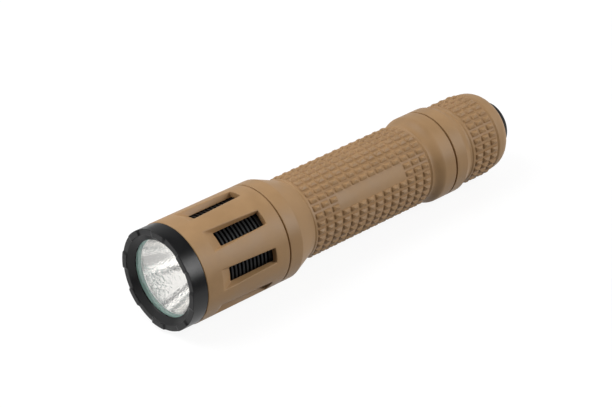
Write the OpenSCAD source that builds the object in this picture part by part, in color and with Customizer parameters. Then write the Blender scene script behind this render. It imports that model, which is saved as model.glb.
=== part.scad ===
// Hand-held polymer flashlight with a finned head, a studded grip and a push-button tail cap.
// It lies on its side with the beam along +X. All sizes are in millimetres.
// Every piece is built round one axis: a station is the distance from the bezel's front
// tips towards the tail, and an angle is counted from the top towards +Y.

/* [Head shell] */
// Outside diameter of the head shell and of the neck behind it
head_d = 32; // [28.8:0.1:36]
// Length of the head shell behind the bezel
head_len = 32; // [30:0.5:40]
// Wall of the head shell
head_wall = 2; // [1.6:0.1:2.2]
// Rounding of the moulded outer edges
mould_edge = 0.5; // [0.2:0.1:0.8]

/* [Cooling slots] */
// Number of cooling slots round the head shell
slot_count = 8; // [4:1:9]
// Distance from the shell's front edge to the slots
slot_start = 5.8; // [5:0.1:8]
// Length of a slot at the outer surface
slot_len = 20.9; // [14:0.1:22]
// Length of the sloping front end of a slot
slot_ramp = 4.4; // [2:0.1:6]
// Width of a slot at its front end
slot_front_w = 6.8; // [5:0.1:7]
// Width of a slot at its rear end
slot_rear_w = 4.75; // [3.5:0.05:6]
// Width of a slot at the bottom of the wall
slot_floor_w = 4.2; // [3:0.1:5]

/* [Bezel] */
// Length of the bezel in front of the head shell
bezel_len = 5.7; // [4:0.1:8]
// How far the bezel's side lies inside the shell's side
bezel_setback = 0.15; // [0.05:0.05:0.3]
// Number of raised lobes on the bezel's front
lobe_count = 8; // [3:1:9]
// Angle that each lobe takes up
lobe_angle = 23; // [10:1:34]
// Turn of the lobes from the line of the smooth panels
lobe_turn = 9; // [0:1:45]
// Height of the lobes
lobe_h = 0.4; // [0.3:0.1:1]
// Width of the flat front rim
rim_w = 1.85; // [1:0.05:2.4]
// Width of the sloping dish from the rim to the window
dish_w = 1.9; // [1.6:0.1:3]
// Depth of that dish
dish_depth = 1.4; // [0.8:0.1:1.8]
// Thickness of the lip that holds the lens
lip_t = 0.5; // [0.4:0.1:1.5]

/* [Lens and reflector] */
// Thickness of the glass
lens_t = 3; // [1.5:0.1:3.5]
// How far the glass reaches under the lip
lens_cover = 0.9; // [0.6:0.1:1.1]
// Thickness of the lens gasket
gasket_t = 0.6; // [0.4:0.1:1.2]
// Depth of the reflector
reflector_depth = 16.3; // [13:0.1:17]
// Wall of the reflector
reflector_wall = 0.8; // [0.5:0.1:0.9]
// Diameter of the hole for the light source
reflector_hole_d = 6.8; // [6:0.1:7.2]
// Thickness of the reflector's flange
flange_t = 1.2; // [0.8:0.1:2]
// Width of the reflector's flange
flange_w = 1.2; // [1:0.1:2]

/* [Light source] */
// Thickness of the insulating spacer behind the reflector
spacer_t = 0.8; // [0.75:0.05:1.5]
// Outside diameter of the spacer
spacer_d = 16; // [10:0.5:18]
// Side of the square emitter
emitter_w = 5; // [3:0.1:5.2]
// Height of the emitter's base
emitter_h = 0.7; // [0.4:0.05:0.7]
// Diameter of the emitter's dome
dome_d = 4.4; // [2:0.1:5]
// Diameter of the metal-core board under the emitter
board_d = 19; // [16:0.5:20]
// Thickness of that board
board_t = 1.6; // [1:0.1:2]
// Diameter of the two insulated leads
lead_d = 1.2; // [0.8:0.1:1.6]
// Distance of a lead from the axis
lead_offset = 6.5; // [5:0.1:7]

/* [Heat sink] */
// Number of cooling fins
fin_count = 14; // [6:1:15]
// Distance from fin to fin
fin_pitch = 1.45; // [1.2:0.05:1.5]
// Thickness of a fin
fin_w = 0.7; // [0.4:0.05:0.9]
// Depth of the grooves between the fins
fin_depth = 1.1; // [0.6:0.1:1.2]
// Distance from the heat sink's collar to the first fin
fin_start = 2.2; // [1:0.1:4]
// Length of the front spigot inside the bezel
spigot_len = 3; // [2:0.1:3.4]
// Thickness of the shelf that carries the board
shelf_t = 4; // [2:0.1:5]
// Length of the plug that screws into the battery tube
plug_len = 8; // [7:0.1:10]
// Wall of the plug round the driver board
plug_wall = 1.9; // [1.5:0.1:2.4]

/* [Driver] */
// Thickness of the driver board
driver_t = 1.6; // [1:0.1:2]
// Distance from the plug's start to the driver board
driver_inset = 3; // [2:0.1:4]
// Width of the ledge that the driver board rests on
driver_ledge = 0.6; // [0.4:0.1:1]
// Thickness of the ring that holds the driver board
driver_ring_t = 2; // [1:0.1:2.5]
// Radial width of that ring
driver_ring_w = 1.4; // [1:0.1:3]
// Outside diameter of the choke
choke_d = 7; // [5:0.1:8]
// Height of the choke
choke_h = 3.5; // [2:0.1:5]
// Length of the controller chip
chip_len = 4; // [3:0.1:5]
// Width of the controller chip
chip_w = 5; // [3:0.1:6]
// Height of the controller chip
chip_h = 1.2; // [0.8:0.1:1.6]
// Length of a capacitor
capacitor_len = 2; // [1.6:0.1:2.4]
// Width and height of a capacitor
capacitor_w = 1.4; // [0.8:0.1:1.6]
// Distance of a capacitor from the middle line
capacitor_offset = 3.4; // [3.3:0.1:4]
// Gap between the parts on the driver board
part_gap = 0.5; // [0.3:0.1:0.8]

/* [Body] */
// Length of the straight neck behind the head
neck_len = 4.8; // [3:0.1:7]
// Wall of the neck round the battery tube's cup
neck_wall = 2.95; // [2.5:0.05:3.4]
// Length of the cone from the neck to the tube
cone_len = 8.2; // [6:0.1:12]
// Wall of the grip round the battery tube, between the studs
grip_wall = 2.25; // [2:0.05:3]
// Plain length between the cone and the first studs
front_margin = 1.4; // [1.2:0.1:3]
// Plain length behind the last studs
rear_margin = 0.9; // [0.8:0.1:3]
// Length of the soft rise to the rear collar
rise_len = 4.2; // [2:0.1:6]
// Length of the rear collar
collar_len = 4.5; // [2:0.1:8]
// Wall of the tail cap's band, which the rear collar is as wide as
band_wall = 2.22; // [1.6:0.02:3]
// Open line between head and body, and between body and tail cap
seam_gap = 0.4; // [0.2:0.1:0.8]

/* [Grip studs] */
// Stud columns along the tail cap
cap_columns = 3; // [2:1:5]
// Stud rows round the grip
stud_rows = 32; // [20:2:36]
// Distance from column to column, which the body evens out over its length
stud_pitch = 3.49; // [3.2:0.01:3.6]
// Height of the studs
stud_h = 0.65; // [0.3:0.01:0.8]
// Length of a stud's flat top along the grip
stud_top_len = 1.2; // [0.8:0.1:2]
// Plain gap between studs along the grip
stud_gap = 0.5; // [0.4:0.1:1]
// Width of a groove between rows at the stud tops
row_groove_w = 1.7; // [0.8:0.1:1.9]
// Width of a groove between rows at its bottom
row_groove_floor = 0.4; // [0.3:0.1:0.8]
// Stud columns in front of the smooth panels
panel_skip = 3; // [1:1:5]
// Stud columns that a smooth panel replaces
panel_columns = 8; // [4:1:8]
// Stud rows that a smooth panel replaces
panel_rows = 2; // [2:2:4]
// Height of a smooth panel above the tube
panel_h = 0.2; // [0.1:0.05:0.4]
// Angle of the first smooth panel from the top, as the flashlight lies
roll = 60; // [0:1:90]

/* [Tail cap] */
// Length of the band next to the body
band_len = 4.9; // [3:0.1:8]
// Length of the dip behind the band
dip_len = 3.4; // [2:0.1:5]
// Wall at the bottom of the dip
dip_wall = 0.85; // [0.7:0.05:1.4]
// Length of the low ridge behind the dip
ridge_len = 1.7; // [1.4:0.1:3]
// Wall of the cap round its insert, between the studs
cap_wall = 0.95; // [0.8:0.05:1.5]
// Length of the rounded end
cap_end_len = 6.7; // [6.6:0.1:9]
// Rounding of the end
cap_end_r = 5.2; // [3:0.1:5.5]
// Flat ring between the rounding and the button's hole
cap_end_land = 0.3; // [0.1:0.1:1]
// Wall behind the button's flange
cap_rear_wall = 6.4; // [4:0.1:6.6]

/* [Button] */
// Diameter of the button
button_d = 17; // [14:0.1:18]
// How far the button stands out of the cap
button_proud = 3.5; // [2:0.1:5]
// Travel of the button
button_travel = 2.5; // [1:0.1:2.6]
// Rounding of the button's outer edge
button_edge = 2; // [0.5:0.1:2.4]
// Wall of the rubber boot
boot_wall = 1.2; // [0.8:0.1:1.25]
// Thickness of the boot's end
boot_end_t = 2.4; // [2.4:0.1:3]
// Thickness of the boot's flange
boot_flange_t = 1.4; // [0.8:0.1:1.6]
// Width of the boot's flange
boot_flange_w = 1.4; // [0.8:0.1:1.5]
// Diameter of the post inside the boot
post_d = 6; // [4:0.1:8]

/* [Switch] */
// Thickness of the switch board
switch_board_t = 1.6; // [1:0.1:2]
// Thickness of the ring that holds the switch board
tail_ring_t = 1.4; // [1:0.1:2]
// Radial width of that ring
tail_ring_w = 3; // [2:0.1:4]
// Length of the switch housing
housing_len = 5.7; // [5.5:0.1:6]
// Wall of the switch housing
housing_wall = 0.9; // [0.6:0.1:1.2]
// Diameter of the plunger's stem
stem_d = 4.8; // [3:0.1:6]
// Diameter of the plunger's head
plunger_d = 9; // [7.5:0.1:10]
// Thickness of the plunger's head
plunger_t = 0.9; // [0.6:0.1:1]
// Height of the contact on the board
contact_h = 0.8; // [0.4:0.1:0.9]
// Diameter of the contact on the board
contact_d = 3.2; // [2:0.1:4.5]

/* [Battery tube] */
// Diameter of a cell
cell_d = 17; // [16:0.1:17.2]
// Length of a cell with its terminal
cell_len = 34.5; // [33.5:0.1:35]
// Height of a cell's terminal
nub_h = 1; // [0.6:0.1:1.5]
// Diameter of a cell's terminal
nub_d = 6; // [4:0.1:8]
// Play round a cell
cell_gap = 0.4; // [0.2:0.1:0.6]
// Wall of the battery tube inside the grip
tube_wall = 1.5; // [1:0.1:2]
// Wall of the cup that takes the head's plug
cup_wall = 0.9; // [0.6:0.1:1.1]
// Thickness of the cup's floor
cup_floor = 1.1; // [0.8:0.1:2]

/* [Tail thread] */
// Wall of the tube under the tail thread
thread_wall = 1.6; // [1.2:0.1:2]
// Pitch of the tail thread
thread_pitch = 1; // [0.75:0.05:1.25]
// Turns of the tail thread
thread_turns = 5; // [3:1:6]
// Depth of the tail thread
thread_depth = 0.5; // [0.3:0.05:0.6]
// Plain length in front of the thread, which holds the seal
thread_land = 3; // [2.6:0.1:4]
// Wall of the threaded insert in the cap
insert_wall = 0.9; // [0.6:0.1:1]

/* [Springs and seals] */
// Thickness of the seal rings
seal_d = 1.2; // [0.9:0.1:1.4]
// Room for the tail spring between the rear cell and the switch board
tail_spring_len = 6.66; // [5:0.01:8]
// Wire of the tail spring
tail_wire_d = 0.8; // [0.5:0.1:0.9]
// Wire of the head spring
head_wire_d = 0.6; // [0.4:0.1:0.6]
// Wire of the switch spring
switch_wire_d = 0.4; // [0.3:0.05:0.5]
// Diameter of the tail spring's wide end
tail_spring_wide = 13; // [10:0.1:15]
// Diameter of the tail spring's narrow end
tail_spring_narrow = 7; // [5:0.1:9]
// Middle diameter of the head spring
head_spring_d = 5.2; // [4:0.1:10]
// Middle diameter of the switch spring
switch_spring_d = 6.8; // [5.6:0.1:7]

/* [Clearances] */
// Gap between pieces that are pressed or bonded together
bond_gap = 0.05; // [0.02:0.01:0.08]
// Gap round pieces that turn or slide in a bore
run_gap = 0.1; // [0.05:0.01:0.15]
// Gap round the button and its flange
button_gap = 0.3; // [0.2:0.05:0.4]
// Distance between ends that must not meet
end_gap = 0.4; // [0.2:0.1:0.6]

/* [Hidden] */
$fn = 64;

// Shared radii
head_r = head_d / 2;
shell_bore_r = head_r - head_wall;
bezel_r = head_r - bezel_setback;
rim_r = bezel_r - rim_w;
window_r = rim_r - dish_w;
lens_r = window_r + lens_cover;
lens_bore_r = lens_r + run_gap;
skirt_r = shell_bore_r - bond_gap;
spigot_r = lens_bore_r - bond_gap;
fin_r = shell_bore_r - run_gap;
opening_r = lens_r - flange_w;
hole_r = reflector_hole_d / 2;
cup_seat_r = head_r - neck_wall;
cup_r = cup_seat_r - bond_gap;
cup_bore_r = cup_r - cup_wall;
plug_r = cup_bore_r - run_gap;
driver_bore_r = plug_r - plug_wall;
driver_r = driver_bore_r - run_gap;
cavity_r = driver_bore_r - driver_ledge;
cell_r = cell_d / 2;
cell_bore_r = cell_r + cell_gap;
tube_r = cell_bore_r + tube_wall;
tube_seat_r = tube_r + bond_gap;
grip_r = tube_seat_r + grip_wall;
thread_r = cell_bore_r + thread_wall + thread_depth;
insert_bore_r = thread_r + run_gap;
insert_r = insert_bore_r + insert_wall;
cap_bore_r = insert_r + bond_gap;
cap_r = cap_bore_r + cap_wall;
dip_r = cap_bore_r + dip_wall;
collar_r = cap_bore_r + band_wall;
button_r = button_d / 2;
button_hole_r = button_r + button_gap;
boot_bore_r = button_r - boot_wall;
boot_flange_r = button_r + boot_flange_w;
switch_bore_r = boot_flange_r + button_gap;
housing_r = boot_bore_r - button_gap;
stem_r = stem_d / 2;

// Stations of the head, from the bezel's front tips to the plug's end
z_rim = lobe_h;
z_window = z_rim + dish_depth;
z_lens = z_window + lip_t;
z_gasket = z_lens + lens_t;
z_flange = z_gasket + gasket_t;
z_sink = z_flange + flange_t;
z_sink_collar = z_sink + spigot_len;
z_spacer = z_flange + reflector_depth;
z_board = z_spacer + spacer_t;
z_shelf = z_board + board_t;
z_cavity = z_shelf + shelf_t;
z_shell = bezel_len;
z_skirt_end = z_sink_collar - end_gap;
z_seam = z_shell + head_len;
z_driver = z_seam + driver_inset;
z_driver_rear = z_driver + driver_t;
z_plug_end = z_seam + plug_len;

// Stations of the body
z_body = z_seam + seam_gap;
z_cone = z_body + neck_len;
z_tube = z_cone + cone_len;
z_grip = z_tube + front_margin;
z_head_seal = z_body + 3 * end_gap;
z_cup = z_body + end_gap;
z_cup_floor = z_plug_end + end_gap;
z_cup_end = z_cup_floor + cup_floor;

// Stations of the cells, which set the length of the body
z_front_cell = z_plug_end;
z_rear_cell = z_front_cell + cell_len;
z_cells_end = z_rear_cell + cell_len;
z_switch = z_cells_end + tail_spring_len;
z_tail_ring = z_switch - tail_ring_t;
z_insert_end = z_tail_ring - end_gap / 2;
z_tube_end = z_insert_end - 2 * end_gap;
z_thread = z_tube_end - thread_turns * thread_pitch;
z_body_end = z_thread - thread_land;
z_collar = z_body_end - collar_len;
z_rise = z_collar - rise_len;
z_grip_end = z_rise - rear_margin;

// Stations of the tail cap
z_cap = z_body_end + seam_gap;
z_tail_seal = z_cap + 2 * end_gap;
z_dip = z_cap + band_len;
z_ridge = z_dip + dip_len;
z_cap_grip = z_ridge + ridge_len;
z_cap_grip_end = z_cap_grip + cap_columns * stud_pitch;
z_cap_end = z_cap_grip_end + cap_end_len;
z_end = z_cap_end + button_proud;
z_switch_rear = z_switch + switch_board_t;
z_housing_end = z_switch_rear + housing_len;
z_cap_wall = z_cap_end - cap_rear_wall;
z_boot = z_cap_wall - boot_flange_t;
z_post = z_housing_end + button_travel + button_gap;
z_plunger = z_housing_end - housing_wall - bond_gap - plunger_t;

// The light lies on the head's side, so its axis is one head radius up
axis_h = head_r;
nose_x = z_end / 2;
over = 1;
grip_len = z_grip_end - z_grip;
body_columns = floor(grip_len / stud_pitch + 0.01);
body_pitch = grip_len / body_columns;
row_angle = 360 / stud_rows;
panel_angle = panel_rows * row_angle;
panel_turns = [roll, roll + 180];
z_panel = z_grip + panel_skip * body_pitch;
z_panel_end = z_panel + panel_columns * body_pitch;
slot_turn = 180 / slot_count;

// Colours
tan_polymer = [0.68, 0.54, 0.39];
black_metal = [0.13, 0.13, 0.14];
black_rubber = [0.09, 0.09, 0.09];
clear_glass = [0.72, 0.88, 0.84];
teal_silicone = [0.36, 0.52, 0.47];
bright_metal = [0.86, 0.87, 0.88];
bare_aluminium = [0.70, 0.71, 0.73];
brass = [0.77, 0.62, 0.31];
spring_steel = [0.62, 0.63, 0.65];
board_green = [0.10, 0.28, 0.18];
white_ceramic = [0.92, 0.92, 0.90];
phosphor = [0.95, 0.83, 0.32];
copper = [0.72, 0.40, 0.22];
cell_sleeve = [0.16, 0.20, 0.30];
dark_plastic = [0.16, 0.16, 0.17];
red_sleeve = [0.62, 0.10, 0.09];

// Lays a piece that was built along its own axis down in the shared frame
module laid() {
    translate([nose_x, 0, axis_h]) rotate([0, -90, 0]) children();
}

// Solid of revolution from radius and station pairs
module turned(points) {
    rotate_extrude() polygon(points);
}

// Plain ring between two radii, from one station to another
module ring(inner, outer, from, to) {
    turned([[inner, from], [outer, from], [outer, to], [inner, to]]);
}

// Plain disc from one station to another
module disc(radius, from, to) {
    translate([0, 0, from]) cylinder(r = radius, h = to - from);
}

// Points of an arc in the plane of radius and station
function arc(centre_r, centre_z, radius, from, to, steps) = [
    for (i = [0 : steps])
        let (a = from + (to - from) * i / steps)
        [centre_r + radius * cos(a), centre_z + radius * sin(a)]
];

// Outline of the ridges between column grooves, with one trapezium for each stud column
function stud_ridges(start, columns, pitch, base) = [
    for (i = [0 : columns - 1])
        let (foot = start + i * pitch,
            slope = (pitch - stud_gap - stud_top_len) / 2)
        each [
            [base, foot],
            [base + stud_h, foot + slope],
            [base + stud_h, foot + slope + stud_top_len],
            [base, foot + pitch - stud_gap]
        ]
];

// Groove between two stud rows, cut along the grip a little below the tube's surface
module row_groove(base, from, to) {
    floor_r = base - stud_h / 5;
    top_r = base + stud_h;
    spread = (row_groove_w - row_groove_floor) / (top_r - floor_r);
    mouth_r = top_r + over;
    half_floor = row_groove_floor / 2;
    half_mouth = half_floor + spread * (mouth_r - floor_r) / 2;
    translate([0, 0, from]) linear_extrude(to - from)
        polygon([[floor_r, -half_floor], [mouth_r, -half_mouth],
            [mouth_r, half_mouth], [floor_r, half_floor]]);
}

// All the grooves between stud rows on one grip
module row_grooves(base, from, to) {
    for (i = [0 : stud_rows - 1])
        rotate([0, 0, roll + i * row_angle]) row_groove(base, from, to);
}

// Sector of a ring, centred on the top
module sector(inner, outer, from, to, angle) {
    rotate([0, 0, -angle / 2]) rotate_extrude(angle = angle)
        polygon([[inner, from], [outer, from], [outer, to], [inner, to]]);
}

// Coil spring of one wire: its middle radius and its station go evenly from one end to the other
module coil(first_r, last_r, from, to, wire_d, turns) {
    sides = 6;
    rings = ceil(turns * 12);
    wire_r = wire_d / 2;
    start = from + wire_r;
    rise = to - from - wire_d;
    centres = [for (i = [0 : rings])
        let (f = i / rings, a = 360 * turns * f, r = first_r + (last_r - first_r) * f)
        [r * cos(a), r * sin(a), start + rise * f]];
    points = [for (i = [0 : rings], k = [0 : sides - 1])
        let (a = 360 * turns * i / rings, b = 360 * k / sides)
        centres[i] + wire_r * [cos(a) * cos(b), sin(a) * cos(b), sin(b)]];
    walls = [for (i = [0 : rings - 1], k = [0 : sides - 1])
        let (n = (k + 1) % sides, p = i * sides)
        each [[p + k, p + n, p + sides + n], [p + k, p + sides + n, p + sides + k]]];
    last = rings * sides;
    caps = [for (k = [1 : sides - 2])
        each [[0, k + 1, k], [last, last + k, last + k + 1]]];
    polyhedron(points, concat(walls, caps));
}

// Aluminium bezel: a ring with raised lobes, a lip over the lens and a skirt inside the shell
module bezel_ring() {
    notch_angle = 360 / lobe_count - lobe_angle;
    reach = 2 * bezel_r;
    color(black_metal) laid() difference() {
        turned(concat(
            [[rim_r, 0]],
            arc(bezel_r - mould_edge, mould_edge, mould_edge, -90, 0, 4),
            [[bezel_r, z_shell - bond_gap], [skirt_r, z_shell - bond_gap],
                [skirt_r, z_skirt_end], [lens_bore_r, z_skirt_end], [lens_bore_r, z_lens],
                [window_r, z_lens], [window_r, z_window], [rim_r, z_rim]]));
        for (i = [0 : lobe_count - 1])
            rotate([0, 0, roll + lobe_turn + i * 360 / lobe_count])
                translate([0, 0, -over]) linear_extrude(over + lobe_h)
                    polygon([[0, 0], [reach * cos(notch_angle / 2), -reach * sin(notch_angle / 2)],
                        [reach * cos(notch_angle / 2), reach * sin(notch_angle / 2)]]);
    }
}

// Glass disc with a small bevel on both edges
module lens() {
    bevel = 0.2;
    color(clear_glass) laid() turned([[0, z_lens], [lens_r - bevel, z_lens], [lens_r, z_lens + bevel],
        [lens_r, z_gasket - bevel], [lens_r - bevel, z_gasket], [0, z_gasket]]);
}

// Silicone gasket between the glass and the reflector
module lens_gasket() {
    color(teal_silicone) laid() ring(opening_r, lens_r, z_gasket, z_flange);
}

// Reflector: a parabola from the opening to the hole, with a flange at the front
module reflector() {
    steps = 14;
    focal_4 = (opening_r * opening_r - hole_r * hole_r) / reflector_depth;
    vertex = z_flange + opening_r * opening_r / focal_4;
    flange_end_r = sqrt(focal_4 * (vertex - z_sink));
    inside = [for (i = [0 : steps])
        let (r = hole_r + (opening_r - hole_r) * i / steps)
        [r, vertex - r * r / focal_4]];
    outside = [for (i = [steps : -1 : 0])
        let (r = hole_r + (flange_end_r - hole_r) * i / steps)
        [r + reflector_wall, vertex - r * r / focal_4]];
    color(bright_metal) laid() turned(concat(inside,
        [[lens_r, z_flange], [lens_r, z_sink]], outside));
}

// Insulating washer that centres the reflector over the emitter
module led_spacer() {
    emitter_corner_r = emitter_w / sqrt(2);
    color(white_ceramic) laid()
        ring(emitter_corner_r + run_gap, spacer_d / 2, z_spacer, z_board);
}

// Square base of the emitter
module led_emitter() {
    color(phosphor) laid() translate([-emitter_w / 2, -emitter_w / 2, z_board - emitter_h])
        cube([emitter_w, emitter_w, emitter_h]);
}

// Clear dome over the emitter
module led_dome() {
    base = z_board - emitter_h;
    color(clear_glass) laid()
        turned(concat([[0, base]], arc(0, base, dome_d / 2, 0, -90, 8)));
}

// Metal-core board that carries the emitter
module led_board() {
    color(white_ceramic) laid() disc(board_d / 2, z_board, z_shelf);
}

// Two insulated leads from the driver to the emitter's board
module led_leads() {
    color(red_sleeve) laid() for (side = [-1, 1])
        translate([0, side * lead_offset, 0]) disc(lead_d / 2, z_shelf, z_driver);
}

// Finned aluminium core of the head, with the shelf for the board and the plug for the body
module heat_sink() {
    groove_z = z_sink_collar + fin_start;
    seal_end = z_head_seal + seal_d + 2 * run_gap;
    board_bore_r = board_d / 2 + run_gap;
    front_bore_r = sqrt(opening_r * opening_r
        - flange_t * (opening_r * opening_r - hole_r * hole_r) / reflector_depth)
        + reflector_wall + run_gap;
    fins = [for (i = [0 : fin_count - 2])
        let (from = groove_z + i * fin_pitch + fin_w, to = groove_z + (i + 1) * fin_pitch)
        each [[fin_r, from], [fin_r - fin_depth, from], [fin_r - fin_depth, to], [fin_r, to]]];
    color(black_metal) laid() difference() {
        turned(concat(
            [[front_bore_r, z_sink], [spigot_r, z_sink], [spigot_r, z_sink_collar],
                [fin_r, z_sink_collar]],
            fins,
            [[fin_r, z_seam], [plug_r, z_seam], [plug_r, z_head_seal],
                [plug_r - seal_d, z_head_seal], [plug_r - seal_d, seal_end],
                [plug_r, seal_end], [plug_r, z_plug_end],
                [driver_bore_r, z_plug_end], [driver_bore_r, z_driver], [cavity_r, z_driver],
                [cavity_r, z_cavity], [0, z_cavity], [0, z_shelf], [board_bore_r, z_shelf],
                [board_bore_r, z_spacer], [front_bore_r, z_sink_collar]]));
        for (side = [-1, 1])
            translate([0, side * lead_offset, 0])
                disc(lead_d / 2 + run_gap, z_shelf - over, z_cavity + over);
    }
}

// One cooling slot: a tapering plan, a ramp at the front and sides that lean inwards
module cooling_slot() {
    from = z_shell + slot_start;
    to = from + slot_len;
    low_r = shell_bore_r - over;
    high_r = head_r + over;
    ramp_rate = slot_ramp / head_wall;
    lean = (slot_front_w - slot_floor_w) / 2 / head_wall;
    half_low = slot_floor_w / 2 - lean * over;
    half_high = slot_front_w / 2 + lean * over;
    intersection() {
        rotate([90, 0, 90]) linear_extrude(high_r)
            polygon([[-slot_front_w / 2, from], [slot_front_w / 2, from],
                [slot_rear_w / 2, to], [-slot_rear_w / 2, to]]);
        rotate([90, 0, 0]) linear_extrude(2 * slot_front_w, center = true)
            polygon([[low_r, from + (head_r - low_r) * ramp_rate],
                [high_r, from + (head_r - high_r) * ramp_rate], [high_r, to], [low_r, to]]);
        linear_extrude(2 * z_seam)
            polygon([[low_r, -half_low], [high_r, -half_high], [high_r, half_high], [low_r, half_low]]);
    }
}

// Slotted polymer sleeve over the heat sink
module head_shell() {
    color(tan_polymer) laid() difference() {
        turned(concat(
            [[shell_bore_r, z_shell]],
            arc(head_r - mould_edge, z_shell + mould_edge, mould_edge, -90, 0, 4),
            arc(head_r - mould_edge, z_seam - mould_edge, mould_edge, 0, 90, 4),
            [[shell_bore_r, z_seam]]));
        for (i = [0 : slot_count - 1])
            rotate([0, 0, roll + slot_turn + i * 360 / slot_count]) cooling_slot();
    }
}

// Round circuit board in the heat sink's rear
module driver_board() {
    color(board_green) laid() disc(driver_r, z_driver, z_driver_rear);
}

// Wound choke on the driver board
module driver_choke() {
    choke_r = choke_d / 2;
    bore_r = choke_d / 5;
    color(copper) laid() translate([-choke_r - part_gap, 0, 0])
        ring(bore_r, choke_r, z_driver - choke_h, z_driver);
}

// Controller chip and two capacitors on the driver board
module driver_parts() {
    chip_x = capacitor_len / 2 + 2 * part_gap;
    color(dark_plastic) laid() {
        translate([chip_x, -chip_w / 2, z_driver - chip_h]) cube([chip_len, chip_w, chip_h]);
        for (side = [-1, 1])
            translate([-capacitor_len / 2, side * capacitor_offset - capacitor_w / 2,
                z_driver - capacitor_w]) cube([capacitor_len, capacitor_w, capacitor_w]);
    }
}

// Threaded brass ring that holds the driver board in the plug
module driver_ring() {
    outer = driver_bore_r - bond_gap;
    color(brass) laid()
        ring(outer - driver_ring_w, outer, z_driver_rear, z_driver_rear + driver_ring_t);
}

// Coil spring from the driver board to the front cell's terminal
module head_spring() {
    color(spring_steel) laid() coil(head_spring_d / 2, head_spring_d / 2,
        z_driver_rear, z_front_cell - bond_gap, head_wire_d, 2);
}

// Seal ring round the head's plug
module head_seal() {
    seal_z = z_head_seal + run_gap + seal_d / 2;
    middle = plug_r + run_gap / 2 - seal_d / 2;
    color(black_rubber) laid()
        rotate_extrude() translate([middle, seal_z]) circle(d = seal_d);
}

// Polymer body: neck, cone, studded grip with two smooth panels, and rear collar
module body_shell() {
    border_h = panel_h;
    border = front_margin - end_gap;
    rise_steps = 8;
    rise_h = collar_r - grip_r;
    rise = [for (i = [0 : rise_steps])
        let (f = i / rise_steps)
        [grip_r + rise_h * (1 - cos(f * 180)) / 2, z_rise + rise_len * f]];
    color(tan_polymer) laid() union() {
        difference() {
            turned(concat(
                arc(head_r - mould_edge, z_body + mould_edge, mould_edge, -90, 0, 4),
                [[head_r, z_cone], [grip_r, z_tube], [grip_r + border_h, z_tube + border / 3],
                    [grip_r + border_h, z_tube + border]],
                stud_ridges(z_grip, body_columns, body_pitch, grip_r),
                [[grip_r, z_grip_end], [grip_r + border_h, z_grip_end + rear_margin / 3],
                    [grip_r + border_h, z_grip_end + rear_margin * 2 / 3]],
                rise,
                arc(collar_r - mould_edge, z_body_end - mould_edge, mould_edge, 0, 90, 4),
                [[tube_seat_r, z_body_end], [tube_seat_r, z_cup_end + bond_gap],
                    [cup_seat_r, z_cup_end + bond_gap], [cup_seat_r, z_body]]));
            row_grooves(grip_r, z_grip, z_grip_end - stud_gap);
            for (turn = panel_turns)
                rotate([0, 0, turn])
                    sector(grip_r + panel_h / 2, head_r, z_panel, z_panel_end - stud_gap, panel_angle);
        }
        for (turn = panel_turns)
            rotate([0, 0, turn]) sector(tube_seat_r + over, grip_r + panel_h,
                z_panel - stud_gap / 2, z_panel_end - stud_gap / 2, panel_angle - row_angle / 10);
    }
}

// Aluminium tube for the cells, with a cup for the head's plug and a threaded rear end
module battery_tube() {
    seal_end = z_tail_seal + seal_d + 2 * run_gap;
    flank = thread_pitch / 8;
    threads = [for (i = [0 : thread_turns - 1])
        let (from = z_thread + i * thread_pitch)
        each [[thread_r - thread_depth, from + flank],
            [thread_r, from + thread_pitch / 2 - flank],
            [thread_r, from + thread_pitch / 2 + flank],
            [thread_r - thread_depth, from + thread_pitch - flank]]];
    color(bare_aluminium) laid() turned(concat(
        [[cup_bore_r, z_cup], [cup_r, z_cup], [cup_r, z_cup_end], [tube_r, z_cup_end],
            [tube_r, z_body_end + bond_gap], [thread_r, z_body_end + bond_gap],
            [thread_r, z_tail_seal], [thread_r - seal_d, z_tail_seal],
            [thread_r - seal_d, seal_end], [thread_r, seal_end], [thread_r, z_thread]],
        threads,
        [[thread_r - thread_depth, z_tube_end], [cell_bore_r, z_tube_end],
            [cell_bore_r, z_cup_floor], [cup_bore_r, z_cup_floor]]));
}

// Can of one cell, in front of or behind the other one
module cell_can(start) {
    crimp = 0.5;
    from = start + nub_h;
    to = start + cell_len;
    laid() turned([[0, from], [cell_r - crimp, from], [cell_r, from + crimp],
        [cell_r, to - crimp], [cell_r - crimp, to], [0, to]]);
}

// Raised terminal on the front of one cell
module cell_terminal(start) {
    laid() disc(nub_d / 2, start, start + nub_h);
}

// Front cell in its plain sleeve
module front_cell() {
    color(cell_sleeve) cell_can(z_front_cell);
}

// Terminal of the front cell
module front_cell_terminal() {
    color(spring_steel) cell_terminal(z_front_cell);
}

// Rear cell in its plain sleeve
module rear_cell() {
    color(cell_sleeve) cell_can(z_rear_cell);
}

// Terminal of the rear cell
module rear_cell_terminal() {
    color(spring_steel) cell_terminal(z_rear_cell);
}

// Seal ring in front of the tail thread
module tail_seal() {
    seal_z = z_tail_seal + run_gap + seal_d / 2;
    middle = thread_r + run_gap / 2 - seal_d / 2;
    color(black_rubber) laid()
        rotate_extrude() translate([middle, seal_z]) circle(d = seal_d);
}

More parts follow.
